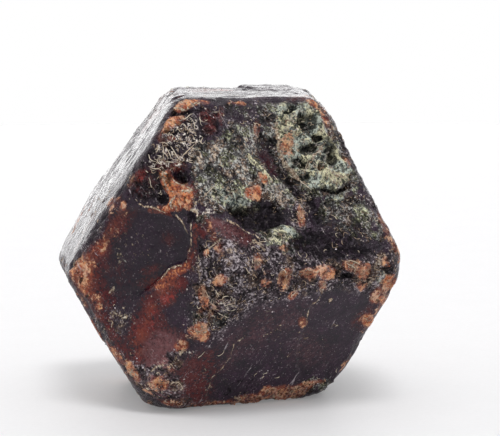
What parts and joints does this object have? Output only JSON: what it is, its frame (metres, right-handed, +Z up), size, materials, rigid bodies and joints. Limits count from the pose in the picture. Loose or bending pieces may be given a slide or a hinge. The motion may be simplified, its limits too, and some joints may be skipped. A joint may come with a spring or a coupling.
{
  "type": "garnet crystal",
  "caption": "Weathered garnet crystal, a dark red rhombic dodecahedron with mica and iron crust, standing on one of its faces.",
  "frame": {"origin": "on the ground, below the middle of the crystal's box", "axes": "+Z up; +Y along the crystal's threefold axis, so that one point of three faces is at the front, at -Y; +X to the right seen from the front"},
  "size_m": [0.045, 0.0474, 0.0407],
  "materials": {
    "garnet": "glassy where fresh, satin and crusted where weathered"
  },
  "bodies": {
    "root": {"garnet_crystal": "garnet"}
  },
  "joints": []
}
